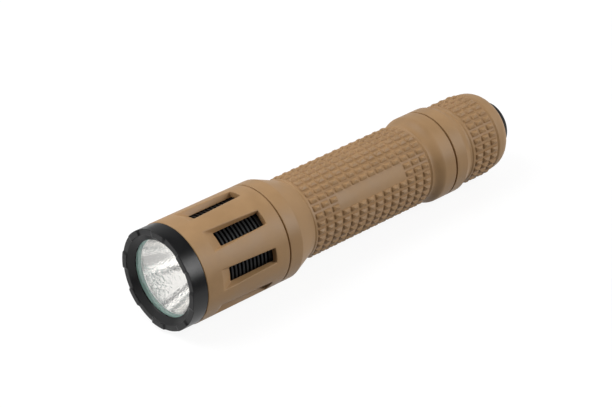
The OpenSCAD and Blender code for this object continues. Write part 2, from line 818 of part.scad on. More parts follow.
// Polymer tail cap: band, dip, ridge, studs and a rounded end round the button
module tail_cap() {
    ridge_r = cap_r + panel_h;
    band_edge_angle = 40;
    end_start = z_cap_end - cap_end_r;
    end_land_r = button_hole_r + cap_end_land;
    end_angle = acos(max(0, end_land_r - cap_r + cap_end_r) / cap_end_r);
    end_z = end_start + cap_end_r * sin(end_angle);
    color(tan_polymer) laid() difference() {
        turned(concat(
            [[cap_bore_r, z_cap]],
            arc(collar_r - mould_edge, z_cap + mould_edge, mould_edge, -90, 0, 4),
            arc(collar_r - mould_edge, z_dip - mould_edge, mould_edge, 0, band_edge_angle, 2),
            [[dip_r, z_ridge - ridge_len / 2], [dip_r, z_ridge], [ridge_r, z_ridge + ridge_len / 4],
                [ridge_r, z_ridge + ridge_len / 2]],
            stud_ridges(z_cap_grip, cap_columns, stud_pitch, cap_r),
            [[cap_r, z_cap_grip_end]],
            arc(cap_r - cap_end_r, end_start, cap_end_r, 0, end_angle, 7),
            [[button_hole_r, end_z], [button_hole_r, z_cap_wall], [switch_bore_r, z_cap_wall],
                [switch_bore_r, z_switch_rear], [cap_bore_r, z_switch_rear]]));
        row_grooves(cap_r, z_cap_grip, z_cap_grip_end - stud_gap);
    }
}

// Threaded aluminium insert in the tail cap, bored clear of the tube's thread
module tail_insert() {
    color(bare_aluminium) laid() ring(insert_bore_r, insert_r, z_cap + end_gap, z_insert_end);
}

// Threaded ring that holds the switch board in the cap
module tail_ring() {
    outer = cap_bore_r - bond_gap;
    color(brass) laid() ring(outer - tail_ring_w, outer, z_tail_ring, z_switch);
}

// Conical spring from the rear cell to the switch board
module tail_spring() {
    color(spring_steel) laid() coil(tail_spring_narrow / 2, tail_spring_wide / 2,
        z_cells_end + bond_gap, z_switch - bond_gap, tail_wire_d, 4);
}

// Round circuit board that carries the switch
module switch_board() {
    color(board_green) laid() disc(cap_bore_r - run_gap, z_switch, z_switch_rear);
}

// Fixed contact under the plunger
module switch_contact() {
    color(brass) laid() disc(contact_d / 2, z_switch_rear, z_switch_rear + contact_h);
}

// Cup that guides the plunger
module switch_housing() {
    inner = housing_r - housing_wall;
    wall_z = z_housing_end - housing_wall;
    color(dark_plastic) laid() turned([[inner, z_switch_rear], [housing_r, z_switch_rear],
        [housing_r, z_housing_end], [stem_r + run_gap, z_housing_end],
        [stem_r + run_gap, wall_z], [inner, wall_z]]);
}

// Return spring of the switch
module switch_spring() {
    color(spring_steel) laid() coil(switch_spring_d / 2, switch_spring_d / 2,
        z_switch_rear + bond_gap, z_plunger - bond_gap, switch_wire_d, 3);
}

// Plunger of the switch, with a head inside the housing and a stem up to the boot's post
module switch_plunger() {
    color(white_ceramic) laid() turned([[0, z_plunger], [plunger_d / 2, z_plunger],
        [plunger_d / 2, z_plunger + plunger_t], [stem_r, z_plunger + plunger_t],
        [stem_r, z_post], [0, z_post]]);
}

// Rubber boot: a cup with a flange inside the cap and a post over the plunger
module button() {
    inside = z_end - boot_end_t;
    color(black_rubber) laid() turned(concat(
        [[0, z_post], [post_d / 2, z_post], [post_d / 2, inside], [boot_bore_r, inside],
            [boot_bore_r, z_boot], [boot_flange_r, z_boot], [boot_flange_r, z_cap_wall - bond_gap],
            [button_r, z_cap_wall - bond_gap]],
        arc(button_r - button_edge, z_end - button_edge, button_edge, 0, 90, 6),
        [[0, z_end]]));
}

bezel_ring();
lens();
lens_gasket();
reflector();
led_spacer();
led_emitter();
led_dome();
led_board();
led_leads();
heat_sink();
head_shell();
driver_board();
driver_choke();
driver_parts();
driver_ring();
head_spring();
head_seal();
body_shell();
battery_tube();
front_cell();
front_cell_terminal();
rear_cell();
rear_cell_terminal();
tail_seal();
tail_cap();
tail_insert();
tail_ring();
tail_spring();
switch_board();
switch_contact();
switch_housing();
switch_spring();
switch_plunger();
button();
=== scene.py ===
"""Looks of a polymer flashlight with a finned head, a studded grip and a push-button tail.

Every piece is built round one long axis. A station is a distance in millimetres towards the tail,
from a plane 5 mm in front of the head shell, and an angle is counted from the top towards +Y.
"""
import math

import bpy
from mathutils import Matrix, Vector
from numpy import interp


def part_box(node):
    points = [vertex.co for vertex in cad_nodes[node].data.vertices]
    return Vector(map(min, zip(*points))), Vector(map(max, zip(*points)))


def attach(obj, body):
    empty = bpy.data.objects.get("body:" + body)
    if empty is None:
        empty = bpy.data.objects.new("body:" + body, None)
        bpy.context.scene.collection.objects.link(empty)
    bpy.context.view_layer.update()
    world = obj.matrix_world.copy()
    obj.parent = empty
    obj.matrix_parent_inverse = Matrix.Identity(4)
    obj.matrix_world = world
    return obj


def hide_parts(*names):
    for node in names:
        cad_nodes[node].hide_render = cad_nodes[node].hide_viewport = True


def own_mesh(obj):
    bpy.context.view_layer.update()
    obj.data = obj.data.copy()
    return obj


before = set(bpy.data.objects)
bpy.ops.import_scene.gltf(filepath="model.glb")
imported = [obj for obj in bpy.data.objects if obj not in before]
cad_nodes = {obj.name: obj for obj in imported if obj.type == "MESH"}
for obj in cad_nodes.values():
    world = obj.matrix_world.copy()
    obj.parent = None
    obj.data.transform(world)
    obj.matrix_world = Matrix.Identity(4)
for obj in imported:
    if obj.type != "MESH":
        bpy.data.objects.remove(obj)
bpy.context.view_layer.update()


# Heat sink: the core of the head, turned from one bar of aluminium and anodised black.
# Its fins show in the shell's slots, its shelf carries the light source, and the plug at
# its rear screws into the battery tube.
MM = 0.001
merge_distance = MM / 1000
smooth_limit = math.radians(60)
shell_front = 5
shell_low, shell_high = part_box("head_shell")
nose_x = shell_high.x + shell_front * MM
axis_z = (shell_low.z + shell_high.z) / 2
axis_point = Vector((0, 0, axis_z))


def on_top(station, radius):
    """The point straight above the axis at a station and a radius."""
    return Vector((nose_x - station * MM, 0, axis_z + radius * MM))


def start_at(first):
    """A new mesh in edit mode that holds one selected vertex."""
    bpy.ops.object.select_all(action="DESELECT")
    bpy.ops.mesh.primitive_plane_add(size=MM, enter_editmode=True, location=(0, 0, 0))
    bpy.ops.mesh.select_mode(type="VERT")
    bpy.ops.mesh.merge(type="CENTER")
    bpy.ops.transform.translate(value=first)


def close_up():
    """Merges what meets in the mesh in edit mode and turns its faces outwards."""
    bpy.ops.mesh.select_all(action="SELECT")
    bpy.ops.mesh.remove_doubles(threshold=merge_distance)
    bpy.ops.mesh.normals_make_consistent(inside=False)


def leave_edit(name):
    """Back to object mode, with the mesh under its piece's name."""
    bpy.ops.object.mode_set(mode="OBJECT")
    piece = bpy.context.object
    piece.name = name
    piece.data.name = name
    return piece


def turned(name, outline, steps):
    """A turned solid: its outline is drawn point by point and spun round the axis."""
    points = [on_top(station, radius) for station, radius in outline]
    start_at(points[0])
    for last, point in zip(points, points[1:]):
        bpy.ops.mesh.extrude_vertices_move(TRANSFORM_OT_translate={"value": point - last})
    bpy.ops.mesh.select_all(action="SELECT")
    bpy.ops.mesh.spin(steps=steps, angle=math.tau, center=axis_point, axis=(1, 0, 0))
    close_up()
    return leave_edit(name)


def drill(piece, station, end, radius, side):
    """Drills a hole along the axis, so far to the side of it."""
    bpy.ops.object.select_all(action="DESELECT")
    middle = on_top((station + end) / 2, 0) + Vector((0, side * MM, 0))
    bpy.ops.mesh.primitive_cylinder_add(vertices=24, radius=radius * MM,
                                        depth=(end - station) * MM, location=middle,
                                        rotation=(0, math.pi / 2, 0))
    cutter = bpy.context.object
    hole = piece.modifiers.new("hole", "BOOLEAN")
    hole.object = cutter
    bpy.context.view_layer.objects.active = piece
    bpy.ops.object.modifier_apply(modifier=hole.name)
    bpy.data.objects.remove(cutter)


def soften(piece, width, segments=2, limit=30):
    """Rounds the edges that are sharper than the limit and shades the rest smooth."""
    bpy.ops.object.select_all(action="DESELECT")
    bpy.context.view_layer.objects.active = piece
    bevel = piece.modifiers.new("edges", "BEVEL")
    bevel.width = width * MM
    bevel.segments = segments
    bevel.angle_limit = math.radians(limit)
    bpy.ops.object.modifier_apply(modifier=bevel.name)
    piece.select_set(True)
    bpy.ops.object.shade_smooth_by_angle(angle=smooth_limit)
    flats = piece.modifiers.new("flats", "WEIGHTED_NORMAL")
    flats.keep_sharp = True
    bpy.ops.object.modifier_apply(modifier=flats.name)


def noise(tree, place, size, detail):
    """A socket of cloudy noise in patches of so many millimetres."""
    cloud = tree.nodes.new("ShaderNodeTexNoise")
    cloud.inputs["Scale"].default_value = 1 / (size * MM)
    cloud.inputs["Detail"].default_value = detail
    tree.links.new(place, cloud.inputs["Vector"])
    return cloud.outputs["Fac"]


def spread(tree, value, given, wanted):
    """A socket that goes through the wanted range as a value goes through the given one."""
    ranged = tree.nodes.new("ShaderNodeMapRange")
    ranged.inputs["From Min"].default_value = given[0]
    ranged.inputs["From Max"].default_value = given[1]
    ranged.inputs["To Min"].default_value = wanted[0]
    ranged.inputs["To Max"].default_value = wanted[1]
    tree.links.new(value, ranged.inputs["Value"])
    return ranged.outputs["Result"]


def finish(name, light, dark, mottle, rough, grain, relief, metal=0.0, gloss=0.5, clear=0.0):
    """A finish of two shades in patches of so many millimetres, with an uneven roughness
    and a relief of so many micrometres in grains of so many millimetres."""
    made = bpy.data.materials.new(name)
    made.use_nodes = True
    tree = made.node_tree
    shader = tree.nodes["Principled BSDF"]
    shader.inputs["Metallic"].default_value = metal
    shader.inputs["Specular IOR Level"].default_value = gloss
    shader.inputs["Transmission Weight"].default_value = clear
    place = tree.nodes.new("ShaderNodeTexCoord").outputs["Object"]
    dark_end = 0.35
    light_end = 0.65

    patches = noise(tree, place, mottle, detail=4)
    shades = tree.nodes.new("ShaderNodeValToRGB")
    shades.color_ramp.elements[0].position = dark_end
    shades.color_ramp.elements[0].color = (*dark, 1)
    shades.color_ramp.elements[1].position = light_end
    shades.color_ramp.elements[1].color = (*light, 1)
    tree.links.new(patches, shades.inputs["Fac"])
    tree.links.new(shades.outputs["Color"], shader.inputs["Base Color"])
    handled = spread(tree, patches, (dark_end, light_end), rough)
    tree.links.new(handled, shader.inputs["Roughness"])

    bump = tree.nodes.new("ShaderNodeBump")
    bump.inputs["Distance"].default_value = relief * MM * MM
    tree.links.new(noise(tree, place, grain, detail=2), bump.inputs["Height"])
    tree.links.new(bump.outputs["Normal"], shader.inputs["Normal"])
    return made


def paint(material, *pieces):
    """Gives pieces one finish all over."""
    for piece in pieces:
        piece.data.materials.clear()
        piece.data.materials.append(material)


def fit(piece, body, node):
    """The piece stands for a solid of the frame, which is hidden, and moves with its body."""
    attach(piece, body)
    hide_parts(node)


fin_radius = 13.9
fin_root_radius = 12.8
fin_front = 11.6
fin_pitch = 1.45
fin_width = 0.7
fin_count = 14
spigot_front = 6.4
spigot_rear = 9.4
spigot_radius = 13.05
spigot_bore = 12.3
plug_front = 37
plug_rear = 45
plug_radius = 12
head_seal_front = 38.6
head_seal_rear = 40
head_seal_root = 10.8
shelf_front = 23.9
shelf_rear = 27.9
ring_seat = 40
ring_bore = 10.1
driver_radius = 9.5
led_board_bore = 9.6
led_board_bore_front = 21.5
lead_hole_radius = 0.7
lead_hole_side = 6.5
drill_overrun = 1
spigot = [(spigot_front, spigot_bore), (spigot_front, spigot_radius), (spigot_rear, spigot_radius),
          (spigot_rear, fin_radius)]
fins = []
for number in range(fin_count - 1):
    gap_front = fin_front + number * fin_pitch + fin_width
    gap_rear = fin_front + (number + 1) * fin_pitch
    fins += [(gap_front, fin_radius), (gap_front, fin_root_radius)]
    fins += [(gap_rear, fin_root_radius), (gap_rear, fin_radius)]
plug = [(plug_front, fin_radius), (plug_front, plug_radius), (head_seal_front, plug_radius),
        (head_seal_front, head_seal_root), (head_seal_rear, head_seal_root),
        (head_seal_rear, plug_radius), (plug_rear, plug_radius)]
driver_bore = [(plug_rear, ring_bore), (ring_seat, ring_bore), (ring_seat, driver_radius),
               (shelf_rear, driver_radius), (shelf_rear, 0)]
light_bore = [(shelf_front, 0), (shelf_front, led_board_bore),
              (led_board_bore_front, led_board_bore), (spigot_rear, spigot_bore),
              (spigot_front, spigot_bore)]
heat_sink = turned("heat_sink_core", spigot + fins + plug + driver_bore + light_bore, steps=96)
for side in (-lead_hole_side, lead_hole_side):
    drill(heat_sink, shelf_front - drill_overrun, shelf_rear + drill_overrun, lead_hole_radius, side)
soften(heat_sink, width=0.1, segments=1)
fin_black = finish("fin_black", (0.006, 0.006, 0.0065), (0.003, 0.003, 0.0035),
                   mottle=4, rough=(0.42, 0.52), grain=0.12, relief=4, gloss=0.3)
paint(fin_black, heat_sink)
fit(heat_sink, "light_body", "heat_sink")


# Driver: a round circuit board with a wound choke, a chip and two capacitors.
# A threaded brass ring holds it in the heat sink's plug, and two sleeved leads go from it
# through the shelf to the light source.
circuit_board = finish("circuit_board", (0.020, 0.085, 0.045), (0.008, 0.045, 0.022),
                       mottle=1.2, rough=(0.3, 0.5), grain=0.3, relief=12)
copper = finish("enamelled_copper", (0.50, 0.19, 0.07), (0.33, 0.10, 0.035),
                mottle=0.8, rough=(0.25, 0.4), grain=0.5, relief=60, metal=0.9)
black_plastic = finish("black_plastic", (0.026, 0.026, 0.028), (0.018, 0.018, 0.020),
                       mottle=2, rough=(0.45, 0.6), grain=0.1, relief=5)
brass = finish("brass", (0.70, 0.47, 0.17), (0.56, 0.36, 0.12),
               mottle=3, rough=(0.22, 0.38), grain=0.15, relief=4, metal=1.0)
red_sleeve = finish("red_sleeve", (0.38, 0.012, 0.010), (0.29, 0.008, 0.008),
                    mottle=1.5, rough=(0.4, 0.5), grain=0.2, relief=5)
paint(circuit_board, cad_nodes["driver_board"])
paint(copper, cad_nodes["driver_choke"])
paint(black_plastic, cad_nodes["driver_parts"])
paint(brass, cad_nodes["driver_ring"])
paint(red_sleeve, cad_nodes["led_leads"])


# Head spring: hard steel wire, wound in two turns and soldered to the driver board.
# It carries the current from the front cell's terminal.
spring_steel = finish("spring_steel", (0.42, 0.42, 0.43), (0.32, 0.32, 0.33),
                      mottle=1.5, rough=(0.22, 0.36), grain=0.2, relief=5, metal=1.0)


def coiled(name, start, end, first_radius, last_radius, wire, turns):
    """A spring: its wire's round section is screwed along the axis and may widen on the way."""
    turn_steps = 28
    wire_radius = wire / 2 * MM
    rise = (end - start - wire) * MM
    first_x = nose_x - start * MM - wire_radius
    bpy.ops.object.select_all(action="DESELECT")
    bpy.ops.mesh.primitive_circle_add(vertices=10, radius=wire_radius, enter_editmode=True,
                                      location=(0, 0, 0), rotation=(math.pi / 2, 0, 0))
    bpy.ops.transform.translate(value=(0, 0, first_radius * MM))
    spring = leave_edit(name)
    bpy.ops.object.transform_apply(location=True, rotation=True)
    winding = spring.modifiers.new("winding", "SCREW")
    winding.axis = "X"
    winding.iterations = turns
    winding.screw_offset = rise / turns
    winding.steps = turn_steps
    winding.render_steps = turn_steps
    bpy.ops.object.modifier_apply(modifier=winding.name)
    for vertex in spring.data.vertices:
        around = Vector((0, vertex.co.y, vertex.co.z))
        wider = (last_radius - first_radius) * MM * vertex.co.x / rise
        around += around.normalized() * wider
        vertex.co = Vector((first_x - vertex.co.x, around.y, around.z + axis_z))
    bpy.ops.object.mode_set(mode="EDIT")
    bpy.ops.mesh.select_all(action="SELECT")
    bpy.ops.mesh.fill_holes(sides=0)
    close_up()
    leave_edit(name)
    bpy.ops.object.shade_smooth_by_angle(angle=smooth_limit)
    paint(spring_steel, spring)
    return spring


head_spring = coiled("head_spring_coil", start=41.6, end=44.95, first_radius=2.6, last_radius=2.6,
                     wire=0.6, turns=2)
fit(head_spring, "light_body", "head_spring")


# Seal rings: moulded black rubber, one on the head's plug and one in front of the tail thread.
# They are stretched into their grooves and keep water out.
black_rubber = finish("black_rubber", (0.016, 0.016, 0.016), (0.010, 0.010, 0.010),
                      mottle=2.5, rough=(0.55, 0.7), grain=0.18, relief=7, gloss=0.2)
paint(black_rubber, cad_nodes["head_seal"], cad_nodes["tail_seal"])


# Light source: a square emitter under a clear dome, soldered to a metal-core board.
# A white washer round the emitter centres the reflector and insulates it from the board.
white_plastic = finish("white_plastic", (0.80, 0.80, 0.77), (0.74, 0.74, 0.71),
                       mottle=3, rough=(0.4, 0.55), grain=0.15, relief=5)
led_phosphor = finish("led_phosphor", (0.85, 0.62, 0.09), (0.76, 0.52, 0.06),
                      mottle=0.6, rough=(0.5, 0.7), grain=0.08, relief=8)
glass = finish("glass", (0.99, 0.99, 0.985), (0.98, 0.98, 0.975),
               mottle=9, rough=(0.0, 0.015), grain=4, relief=0.2, gloss=0.25, clear=1.0)
glass_index = 1.7
glass.node_tree.nodes["Principled BSDF"].inputs["IOR"].default_value = glass_index
paint(white_plastic, cad_nodes["led_board"], cad_nodes["led_spacer"])
paint(led_phosphor, cad_nodes["led_emitter"])
paint(glass, cad_nodes["led_dome"])


# Reflector: a stippled parabola of metallised aluminium with a flange at its mouth.
# The flange is clamped between the glass and the heat sink's front edge.
mouth_radius = 11.8
throat_radius = 3.4
mouth_station = 5.2
reflector_depth = 16.3
reflector_wall = 0.8
flange_radius = 13.0
flange_rear = 6.4
curve_rate = (mouth_radius ** 2 - throat_radius ** 2) / reflector_depth
vertex_station = mouth_station + mouth_radius ** 2 / curve_rate
flange_root = math.sqrt(curve_rate * (vertex_station - flange_rear))
curve_steps = 28
bowl = []
back = []
for step in range(curve_steps + 1):
    bowl_radius = throat_radius + (mouth_radius - throat_radius) * step / curve_steps
    bowl.append((vertex_station - bowl_radius ** 2 / curve_rate, bowl_radius))
    back_radius = flange_root + (throat_radius - flange_root) * step / curve_steps
    back.append((vertex_station - back_radius ** 2 / curve_rate, back_radius + reflector_wall))
flange = [(mouth_station, flange_radius), (flange_rear, flange_radius)]
reflector = turned("reflector_bowl", bowl + flange + back + bowl[:1], steps=128)
soften(reflector, width=0.08)
reflector_metal = finish("reflector_metal", (0.99, 0.98, 0.96), (0.97, 0.96, 0.94),
                         mottle=5, rough=(0.01, 0.02), grain=0.8, relief=75, metal=1.0)
paint(reflector_metal, reflector)
fit(reflector, "light_body", "reflector")


# Lens gasket: a narrow ring of teal silicone, cut from a tube.
# It sits behind the glass's rim and is squeezed against the reflector's flange.
gasket_front = 4.65
gasket_bore = 11.85
gasket_outline = [(gasket_front, gasket_bore), (gasket_front, flange_radius),
                  (mouth_station, flange_radius), (mouth_station, gasket_bore),
                  (gasket_front, gasket_bore)]
gasket = turned("lens_gasket_ring", gasket_outline, steps=128)
soften(gasket, width=0.12)
# Painted light: the gasket's teal is lightened nearly to white for the light that reaches it through
# the glass.
teal_silicone = finish("teal_silicone", (0.66, 0.95, 0.87), (0.62, 0.91, 0.83),
                       mottle=4, rough=(0.4, 0.5), grain=0.2, relief=5)
paint(teal_silicone, gasket)
fit(gasket, "light_body", "lens_gasket")


# Lens: a thick disc of clear glass with a ground edge.
# The edge looks teal through the face, as thick glass does, and the bezel's lip holds it. Its teal
# is lightened nearly to white as painted light, for the light that reaches it through the glass.
lens_radius = 13.0
lens_front = 1.6
lens_rear = 4.6
ground = 0.2


def radius_of(place):
    """How far a place lies from the axis, in millimetres."""
    return math.hypot(place.y, place.z - axis_z) / MM


def paint_part(material, piece, wanted):
    """Gives the wanted faces of a piece a second finish."""
    piece.data.materials.append(material)
    for face in piece.data.polygons:
        face.material_index = int(wanted(face))


lens_outline = [(lens_front, 0), (lens_front, lens_radius - ground),
                (lens_front + ground, lens_radius), (lens_rear - ground, lens_radius),
                (lens_rear, lens_radius - ground), (lens_rear, 0)]
lens = turned("lens_glass", lens_outline, steps=128)
# Painted light: the teal of the glass's edge is lightened nearly to white for light coming through
# the glass.
ground_edge_painted_light = finish("ground_glass_edge_painted_light", (0.66, 0.95, 0.87), (0.62, 0.91, 0.83),
                     mottle=5, rough=(0.5, 0.6), grain=0.1, relief=4)
paint(glass, lens)
paint_part(ground_edge_painted_light, lens, lambda face: radius_of(face.center) > lens_radius - ground)
fit(lens, "light_body", "lens")


# Bezel ring: turned from aluminium, with eight low lobes milled on its front, anodised black.
# Its skirt screws into the head and its lip holds the glass down on the gasket.
rim_station = -0.3
rim_radius = 14
bezel_radius = 15.85
bezel_rear = 4.95
skirt_radius = 13.95
skirt_bore = 13.1
skirt_rear = 9
lip_bore = 12.1
lip_front = 1.1
lobe_count = 8
lobe_first = 1.875
lobe_width = 22.5
lobe_height = 0.4
lobe_taper = 0.84


def turn_from(place, first, count):
    """The angle from the nearest of so many even marks round the axis, in degrees."""
    angle = math.degrees(math.atan2(place.y, place.z - axis_z))
    return (angle - first + 180 / count) % (360 / count) - 180 / count


def pick(piece, kind, wanted):
    """Goes into edit mode with only the wanted faces or edges of a piece selected."""
    bpy.ops.object.mode_set(mode="EDIT")
    bpy.ops.mesh.select_mode(type=kind)
    bpy.ops.mesh.select_all(action="DESELECT")
    bpy.ops.object.mode_set(mode="OBJECT")
    members = {"FACE": piece.data.polygons, "EDGE": piece.data.edges}[kind]
    for member in members:
        member.select = wanted(member)
    bpy.ops.object.mode_set(mode="EDIT")


def is_lobe(face):
    """Whether a face of the flat rim lies under a lobe."""
    on_rim = face.normal.x > 0.99 and radius_of(face.center) > rim_radius
    return on_rim and abs(turn_from(face.center, lobe_first, lobe_count)) < lobe_width / 2


bezel_outline = [(rim_station, rim_radius), (rim_station, bezel_radius), (bezel_rear, bezel_radius),
                 (bezel_rear, skirt_radius), (skirt_rear, skirt_radius), (skirt_rear, skirt_bore),
                 (lens_front, skirt_bore), (lens_front, lip_bore), (lip_front, lip_bore),
                 (rim_station, rim_radius)]
bezel = turned("bezel_ring_body", bezel_outline, steps=192)
pick(bezel, "FACE", is_lobe)
bpy.ops.mesh.extrude_region_move(TRANSFORM_OT_translate={"value": (lobe_height * MM, 0, 0)})
leave_edit("bezel_ring_body")
for vertex in bezel.data.vertices:
    from_axis = vertex.co - axis_point
    if from_axis.x > nose_x + (lobe_height / 2 - rim_station) * MM:
        ramp = math.radians(turn_from(vertex.co, lobe_first, lobe_count)) * (1 - lobe_taper)
        vertex.co.y = from_axis.y * math.cos(ramp) - from_axis.z * math.sin(ramp)
        vertex.co.z = from_axis.z * math.cos(ramp) + from_axis.y * math.sin(ramp) + axis_z
soften(bezel, width=0.14)
black_anodised = finish("black_anodised", (0.009, 0.009, 0.0095), (0.005, 0.005, 0.0055),
                        mottle=6, rough=(0.28, 0.36), grain=0.12, relief=3, gloss=0.3)
paint(black_anodised, bezel)
fit(bezel, "light_body", "bezel_ring")


# Head shell: a sleeve of tan polymer, moulded in one piece with eight cooling slots.
# It is pushed over the heat sink's fins and held between the bezel and the body.
slot_count = 8
slot_first = 37.5
slot_front = 10.8
slot_rear = 31.7
slot_ramp = 4.4
slot_front_width = 6.8
slot_rear_width = 4.75
slot_floor_width = 4.2
shell_radius = 16
shell_bore = 14
shell_rear = 37
shell_stations = [shell_front, 7, 9, slot_front, 12.5, 15.2, 19.3, 23.4, 27.6, slot_rear, 33.5, 35.2,
                  shell_rear]
column_shares = [-2, -1.67, -1.33, -1, -0.5, 0, 0.5, 1, 1.33, 1.67, 2]


def slot_half(station):
    """Half the width of a slot at the outer surface."""
    return interp(station, [slot_front, slot_rear], [slot_front_width / 2, slot_rear_width / 2])


def station_of(place):
    """The station of a place."""
    return (nose_x - place.x) / MM


def in_slot(face):
    """Whether a face of the flat sector lies in the slot."""
    station = station_of(face.center)
    return slot_front < station < slot_rear and abs(face.center.y) < slot_half(station) * MM


def wrap(piece, scale_radius, middle_angle):
    """Bends a flat sector round the axis: its width becomes an angle, its height a radius."""
    for vertex in piece.data.vertices:
        angle = math.radians(middle_angle) + vertex.co.y / (scale_radius * MM)
        radius = vertex.co.z
        vertex.co.y = radius * math.sin(angle)
        vertex.co.z = axis_z + radius * math.cos(angle)


def ring_of(piece, copies):
    """Copies one sector round the axis until the ring is closed."""
    bpy.ops.object.mode_set(mode="EDIT")
    bpy.ops.mesh.select_all(action="SELECT")
    bpy.ops.mesh.spin(steps=copies - 1, dupli=True, angle=math.tau * (copies - 1) / copies,
                      center=axis_point, axis=(1, 0, 0))
    close_up()
    bpy.ops.object.mode_set(mode="OBJECT")


half_sector = math.pi / slot_count
bpy.ops.object.select_all(action="DESELECT")
bpy.ops.mesh.primitive_grid_add(x_subdivisions=len(shell_stations) - 1, size=2, location=(0, 0, 0),
                                y_subdivisions=len(column_shares) - 1)
head_shell = bpy.context.object
for vertex in head_shell.data.vertices:
    station = shell_stations[round((vertex.co.x + 1) / 2 * (len(shell_stations) - 1))]
    share = column_shares[round((vertex.co.y + 1) / 2 * (len(column_shares) - 1))]
    aside = interp(abs(share), [0, 1, 2], [0, slot_half(station), half_sector * shell_radius])
    vertex.co = Vector((nose_x - station * MM, math.copysign(aside, share) * MM, shell_radius * MM))
pick(head_shell, "FACE", in_slot)
bpy.ops.mesh.delete(type="FACE")
leave_edit("head_shell_sleeve")
wrap(head_shell, shell_radius, slot_first)
ring_of(head_shell, slot_count)
outer_count = len(head_shell.data.vertices)
wall = head_shell.modifiers.new("wall", "SOLIDIFY")
wall.thickness = (shell_radius - shell_bore) * MM
wall.offset = -1
bpy.ops.object.modifier_apply(modifier=wall.name)
for number in range(outer_count):
    outer = head_shell.data.vertices[number].co
    turn = math.radians(turn_from(outer, slot_first, slot_count))
    station = station_of(outer)
    aside = interp(abs(turn) * shell_radius, [0, slot_half(station), half_sector * shell_radius],
                   [0, slot_floor_width / 2, half_sector * shell_bore])
    angle = math.atan2(outer.y, outer.z - axis_z) - turn + math.copysign(aside / shell_bore, turn)
    inner_station = interp(station, [shell_front, slot_front, slot_rear, shell_rear],
                           [shell_front, slot_front + slot_ramp, slot_rear, shell_rear])
    inner = on_top(inner_station, 0)
    inner.y += shell_bore * MM * math.sin(angle)
    inner.z += shell_bore * MM * math.cos(angle)
    head_shell.data.vertices[outer_count + number].co = inner
soften(head_shell, width=0.28, limit=20)
tan_polymer = finish("tan_polymer", (0.43, 0.256, 0.119), (0.385, 0.227, 0.103),
                     mottle=7, rough=(0.45, 0.55), grain=0.16, relief=9, gloss=0.45)
paint(tan_polymer, head_shell)
fit(head_shell, "light_body", "head_shell")


# Battery tube: turned aluminium, bonded into the polymer body, with a cup for the head's plug.
# The tail cap screws on its rear end, behind the groove for the seal ring. The band of the tube that
# shows in the seam between body and cap is painted black as painted shade, for the deep gap's
# shadow.
thread_radius = 11
thread_root = 10.5
thread_front = 113.26
thread_pitch = 1
thread_turns = 5
flank = thread_pitch / 8
cup_front = 37.8
cup_floor = 45.4
cup_rear = 46.5
cup_bore = 12.1
cup_radius = 13
tube_radius = 10.4
tube_bore = 8.9
tube_rear = 118.26
shoulder_front = 110.31
tail_seal_front = 111.46
tail_seal_rear = 112.86
tail_seal_root = 9.8
shade_band_front = 110
shade_band_rear = 111.4
threads = []
for number in range(thread_turns):
    ridge_front = thread_front + number * thread_pitch
    threads.append((ridge_front + flank, thread_root))
    threads.append((ridge_front + thread_pitch / 2 - flank, thread_radius))
    threads.append((ridge_front + thread_pitch / 2 + flank, thread_radius))
    threads.append((ridge_front + thread_pitch - flank, thread_root))
cup = [(cup_floor, cup_bore), (cup_front, cup_bore), (cup_front, cup_radius), (cup_rear, cup_radius),
       (cup_rear, tube_radius), (shoulder_front, tube_radius)]
seal_groove = [(shoulder_front, thread_radius), (tail_seal_front, thread_radius),
               (tail_seal_front, tail_seal_root), (tail_seal_rear, tail_seal_root),
               (tail_seal_rear, thread_radius), (thread_front, thread_radius)]
tube_end = [(tube_rear, thread_root), (tube_rear, tube_bore), (cup_floor, tube_bore),
            (cup_floor, cup_bore)]
battery_tube = turned("battery_tube_core", cup + seal_groove + threads + tube_end, steps=96)
soften(battery_tube, width=0.06, segments=1)
aluminium = finish("aluminium", (0.60, 0.61, 0.63), (0.50, 0.51, 0.53),
                   mottle=4, rough=(0.26, 0.4), grain=0.2, relief=4, metal=1.0)
paint(aluminium, battery_tube)
# Painted shade: the band of aluminium seen in the seam is painted black for the shadow deep in the
# gap.
paint_part(black_anodised, battery_tube,
           lambda face: shade_band_front < station_of(face.center) < shade_band_rear)
fit(battery_tube, "light_body", "battery_tube")


# Cells: two steel cans in plain shrink sleeves, each with a raised terminal at its front.
# They are pushed in from the tail and pressed together by the springs.
cell_sleeve = finish("cell_sleeve", (0.024, 0.040, 0.085), (0.018, 0.030, 0.066),
                     mottle=6, rough=(0.25, 0.35), grain=0.8, relief=8)
paint(cell_sleeve, cad_nodes["front_cell"], cad_nodes["rear_cell"])
paint(spring_steel, cad_nodes["front_cell_terminal"], cad_nodes["rear_cell_terminal"])


# Body shell: tan polymer moulded over the battery tube: neck, cone, studded grip and collar.
# Two smooth panels lie opposite each other in the field of studs.
row_count = 32
stud_pitch = 3.49
stud_gap = 0.75
stud_tiers = [(0.4, 2.55, 1.55), (0.45, 0.8, 0.3)]
stud_edge = 0.05
groove_first = 60
body_columns = 14
body_grip_start = 51.5
body_grip_end = body_grip_start + body_columns * stud_pitch
body_radius = 12.5
collar_radius = 14.27
collar_front = 105.76
rise_front = 101.56
rise_steps = 8
border_radius = 12.9
front_border_start = 50.7
front_border_end = 51.4
rear_border_start = 100.96
rear_border_end = 101.26
cone_front = 42.2
cone_rear = 50.4
cone_rear_radius = 12.7
neck_front = 37.4
neck_bore = 13.05
bore_step = 46.55
body_bore = 10.45
body_rear = 110.16
columns_before_panel = 3
panel_count = 2
panel_columns = 8
panel_rows = 2
panel_height = 0.05
panel_margin = 0.1
panel_front = body_grip_start + columns_before_panel * stud_pitch
panel_rear = panel_front + panel_columns * stud_pitch
corner_steps = 4
tolerance = 0.01


